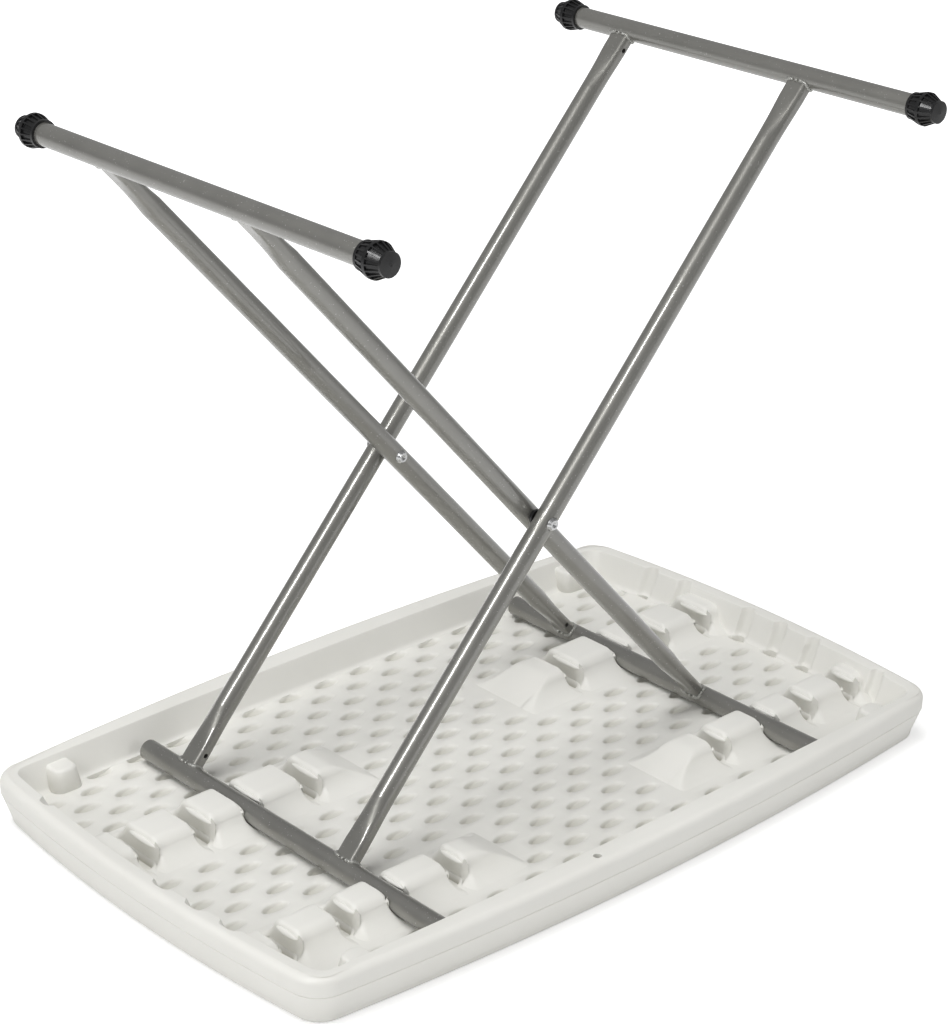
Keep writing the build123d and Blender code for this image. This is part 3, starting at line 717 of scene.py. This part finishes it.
def slot_half(y, z, pocket):
    """Half the width of a slot; past the pocket in its floor the slot has a round bottom that fits the bar."""
    upright = SLOT_HALF + (z - 29 * MM) * math.tan(math.radians(1))
    below = np.clip(BAR_HEIGHT - z, 0, 9.6 * MM)
    share = np.clip((abs(y) - pocket) / (5 * MM), 0, 1)
    return upright + share * (np.minimum(np.sqrt(SLOT_HALF**2 - below**2), upright) - upright)


def slot_end(slot_x, facing, edge):
    """Rings that round a block off towards a slot: slot, side of the slot, distance from the slot face, inset."""
    turns = np.radians(np.linspace(0, 90, 7))
    return [(slot_x, facing, edge * (1 - math.sin(turn)), edge * (1 - math.cos(turn))) for turn in turns]


def ramp(x):
    """How high the ramp stands at a distance from the table's middle, with a rounded crest."""
    rise = (CROWN - PANEL) * (x - RAMP_TOE) / RAMP_LENGTH
    return PANEL + rise - 0.5 * (rise - 20 * MM + math.sqrt((rise - 20 * MM) ** 2 + (3 * MM) ** 2))


def hook_rows(side, middle, half_top):
    """All the blocks of one row as points and faces."""
    profile = bell(half_top)
    count = len(profile)
    pocket = POCKET_SHARE * half_top
    # Across every slot the block on the right has the rounder edge.
    outer_edge, inner_edge = (ROUND_EDGE, SHARP_EDGE) if side > 0 else (SHARP_EDGE, ROUND_EDGE)
    blocks = [[(BLOCK_END, 0, 0, 0)] + slot_end(SLOTS[0], 1, outer_edge)]
    for outer, inner in zip(SLOTS, SLOTS[1:]):
        blocks.append(slot_end(outer, -1, inner_edge)[::-1] + slot_end(inner, 1, outer_edge))
    blocks.append(slot_end(SLOTS[-1], -1, inner_edge)[::-1])
    for x in np.linspace(SLOTS[-1] - 14 * MM, RAMP_TOE, 30):
        blocks[-1].append((x, 0, 0, 0))
    points, faces = [], []

    def add_ring(y, z, x):
        points.extend(zip(side * x, middle + y, z))

    def join_rings(first, total):
        for level in range(total - 1):
            low, high = first + level * count, first + (level + 1) * count
            faces.extend((low + i, low + i + 1, high + i + 1, high + i) for i in range(count - 1))

    for block in blocks:
        start = len(points)
        for x, facing, away, inset in block:
            y, z = shrunk(profile, inset).T
            if not facing:
                if x < RAMP_REACH:
                    # A soft minimum cuts the profile at the height of the ramp.
                    z = 0.5 * (z + ramp(x) - np.sqrt((z - ramp(x)) ** 2 + (1 * MM) ** 2))
                add_ring(y, z, np.full(count, x))
            else:
                add_ring(y, z, x + facing * (slot_half(y, z, pocket) + away))
        join_rings(start, len(block))
        # The face towards a slot is a curtain of points below the last ring.
        for x, facing, away, inset in (block[0], block[-1]):
            if facing:
                y, top = shrunk(profile, inset).T
                first = len(points)
                for share in np.linspace(0, 1, 12):
                    z = top + share * np.minimum(PANEL - 2 * MM - top, 0)
                    add_ring(y, z, x + facing * slot_half(y, z, pocket))
                join_rings(first, 12)
    return points, faces


# %% Snap hooks
for side_name, side in (("left", -1), ("right", 1)):
    for row, (middle, half_top) in ROWS.items():
        points, faces = hook_rows(side, middle, half_top)
        hook_mesh = bpy.data.meshes.new("hooks")
        hook_mesh.from_pydata(points, [], faces)
        shape = bmesh.new()
        shape.from_mesh(hook_mesh)
        bmesh.ops.remove_doubles(shape, verts=shape.verts, dist=0.005 * MM)
        # The underside of each block is closed, out of sight below the panel.
        bmesh.ops.holes_fill(shape, edges=shape.edges[:], sides=0)
        bmesh.ops.recalc_face_normals(shape, faces=shape.faces)
        shape.to_mesh(hook_mesh)
        shape.free()
        hook_mesh.shade_smooth()
        hook_mesh.set_sharp_from_angle(angle=math.radians(40))
        new_piece(f"snap_hooks_{side_name}_{row}", hook_mesh, "tabletop", "moulded_plastic", polyethylene,
                  f"hooks_{side_name}_{row}")

# %% Snap ribs in Geometry Nodes
rib_points, rib_sizes = [], []
for slot_x in SLOTS:
    for middle, length in ((-133 * MM, 27 * MM), (59 * MM, 37 * MM)):
        for end in (-1, 1):
            for facing in (-1, 1):
                # The bars press the ribs flat in the third slots; in the free slots they stand out.
                depth, half_height, height = (2.5, 2.2, 35.4) if slot_x == SLOTS[2] else (3.4, 3.0, 33.6)
                rib_points.append((end * slot_x + facing * 10 * MM, middle, height * MM))
                rib_sizes.append((depth * MM, length / 2, half_height * MM))
rib_seats = bpy.data.meshes.new("rib_seats")
rib_seats.from_pydata(rib_points, [], [])
sizes = rib_seats.attributes.new("rib_size", "FLOAT_VECTOR", "POINT")
sizes.data.foreach_set("vector", np.ravel(rib_sizes))
ribs = bpy.data.objects.new("rib_maker", rib_seats)
bpy.context.scene.collection.objects.link(ribs)
tree = new_group("snap_ribs")
rib_detail = new_input(tree, "Segments", "NodeSocketInt")
given = add_node(tree, "NodeGroupInput")
lens = add_node(tree, "GeometryNodeMeshUVSphere", {0: given.outputs["Segments"]}, socket_1=10, socket_2=1.0)
lens = add_node(tree, "GeometryNodeTransform", {0: lens.outputs[0]})
lens.inputs["Rotation"].default_value = (math.pi / 2, 0, 0)
size = add_node(tree, "GeometryNodeInputNamedAttribute", data_type="FLOAT_VECTOR")
size.inputs["Name"].default_value = "rib_size"
set_out = add_node(tree, "GeometryNodeInstanceOnPoints",
                   {"Points": given.outputs[0], "Instance": lens.outputs[0], "Scale": size.outputs[0]})
whole = add_node(tree, "GeometryNodeRealizeInstances", {0: set_out.outputs[0]})
whole = add_node(tree, "GeometryNodeSetMaterial", {0: whole.outputs[0]})
whole.inputs["Material"].default_value = polyethylene
add_node(tree, "NodeGroupOutput", {0: whole.outputs[0]})
maker = ribs.modifiers.new("snap ribs", "NODES")
maker.node_group = tree
maker[rib_detail] = 16
rib_mesh = baked(ribs)
rib_mesh.shade_smooth()
new_piece("snap_ribs", rib_mesh, "tabletop", "moulded_plastic", polyethylene)

# %% [markdown]
# A square boss stands in each corner of the tray. It is a box with generous bevels that runs into the rim.

# %% Corner bosses
boss_mesh = bpy.data.meshes.new("corner_bosses")
shape = bmesh.new()
BOSS_X, BOSS_Y, BOSS_LEAN = 308 * MM, 201 * MM, 4 * MM
boss_size = Vector((31 * MM, 32 * MM, 24 * MM))
for x in (-BOSS_X, BOSS_X):
    for y in (-BOSS_Y, BOSS_Y):
        middle = Matrix.Translation((x, y, CROWN - boss_size.z / 2 + 0.5 * MM))
        bmesh.ops.create_cube(shape, size=1.0, matrix=middle @ Matrix.Diagonal(boss_size).to_4x4())
# The sides lean in by 4 mm; the upright edges are rounded by 9 mm and the edges of the top by 3 mm.
for corner in shape.verts:
    if corner.co.z > PANEL + 5 * MM:
        corner.co.x -= math.copysign(BOSS_LEAN, abs(corner.co.x) - BOSS_X) * math.copysign(1, corner.co.x)
        if abs(corner.co.y) < BOSS_Y:
            corner.co.y += math.copysign(BOSS_LEAN, corner.co.y)
upright = [edge for edge in shape.edges if abs(edge.verts[0].co.z - edge.verts[1].co.z) > 20 * MM]
bmesh.ops.bevel(shape, geom=upright, offset=9 * MM, segments=6, profile=0.5, affect="EDGES")
crown = [edge for edge in shape.edges if all(corner.co.z > CROWN - 1 * MM for corner in edge.verts)]
bmesh.ops.bevel(shape, geom=crown, offset=3 * MM, segments=4, profile=0.5, affect="EDGES")
bmesh.ops.recalc_face_normals(shape, faces=shape.faces)
shape.to_mesh(boss_mesh)
shape.free()
boss_mesh.shade_smooth()
new_piece("corner_bosses", boss_mesh, "tabletop", "moulded_plastic", polyethylene)

# %% [markdown]
# Each leg stands on its bars in a fillet weld: a ring of overlapping ripples where the flattened tube meets the
# round one. The path of a bead is worked out from the two tubes, and Geometry Nodes set a drop of metal, a
# little different each time, on every point of it. The paint runs over the beads and is thinner there.

# %% Weld paths
TUBE_RADIUS = 9.5 * MM
run, rise = math.cos(math.radians(LEG_ANGLE)), math.sin(math.radians(LEG_ANGLE))
PIVOT_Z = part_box("outer_crossbar")[0].z + TUBE_RADIUS + LEG_BELOW * rise


def weld_path(slope, y, end, length):
    """Points round the flattened end of a leg, where it meets a bar."""
    out = Vector((end * slope * run, 0, end * rise))
    bar = Vector((0, y, PIVOT_Z)) + out * length
    side = Vector((rise, 0, -slope * run))
    path = []
    for turn in np.linspace(0, 2 * math.pi, 40, endpoint=False):
        # A rounded rectangle 22 mm by 12 mm as a superellipse
        c, s = math.cos(turn), math.sin(turn)
        across = math.copysign(abs(c) ** 0.45, c) * 11.2 * MM
        through = math.copysign(abs(s) ** 0.45, s) * 6.2 * MM
        lift = math.sqrt(TUBE_RADIUS**2 - through**2) + 0.2 * MM
        path.append(bar + Vector((0, across, 0)) + side * through - out * lift)
    return path


# %% Weld beads in Geometry Nodes
tree = new_group("weld_beads")
drop_socket = new_input(tree, "Drop radius", "NodeSocketFloat")
given = add_node(tree, "NodeGroupInput")
drop = add_node(tree, "GeometryNodeMeshIcoSphere", {0: given.outputs["Drop radius"]}, socket_1=2)
size = add_node(tree, "FunctionNodeRandomValue", data_type="FLOAT")
size.inputs[2].default_value = 0.82
size.inputs[3].default_value = 1.12
size.inputs["Seed"].default_value = 7
drops = add_node(tree, "GeometryNodeInstanceOnPoints",
                 {"Points": given.outputs[0], "Instance": drop.outputs[0], "Scale": size.outputs[1]})
whole = add_node(tree, "GeometryNodeRealizeInstances", {0: drops.outputs[0]})
whole = add_node(tree, "GeometryNodeSetMaterial", {0: whole.outputs[0]})
whole.inputs["Material"].default_value = weld_paint
add_node(tree, "NodeGroupOutput", {0: whole.outputs[0]})

LEG_MIDDLE = 26 * MM
for frame_name, slope, spread in (("outer", 1, 213.8 * MM), ("inner", -1, 171 * MM)):
    seats = []
    for y in (LEG_MIDDLE - spread / 2, LEG_MIDDLE + spread / 2):
        seats += weld_path(slope, y, -1, LEG_BELOW)
        seats += weld_path(slope, y, 1, LEG_ABOVE)
    seat_mesh = bpy.data.meshes.new("weld_seats")
    seat_mesh.from_pydata(seats, [], [])
    beads = bpy.data.objects.new("weld_maker", seat_mesh)
    bpy.context.scene.collection.objects.link(beads)
    maker = beads.modifiers.new("weld beads", "NODES")
    maker.node_group = tree
    maker[drop_socket] = 1.9 * MM
    bead_mesh = baked(beads)
    bead_mesh.shade_smooth()
    new_piece(f"{frame_name}_weld_beads", bead_mesh, f"{frame_name}_leg_frame", "grey_paint", weld_paint,
              f"{frame_name}_welds")

# %% Finishes on the solids
for name, node in nodes.items():
    if name.startswith(("table_top", "hooks")):
        finish = polyethylene
    elif "cap" in name or "spacer" in name:
        finish = black_plastic
    elif name.startswith("pivot"):
        finish = zinc
    else:
        finish = powder_coat
    node.data.materials.clear()
    node.data.materials.append(finish)
print("finishes set")
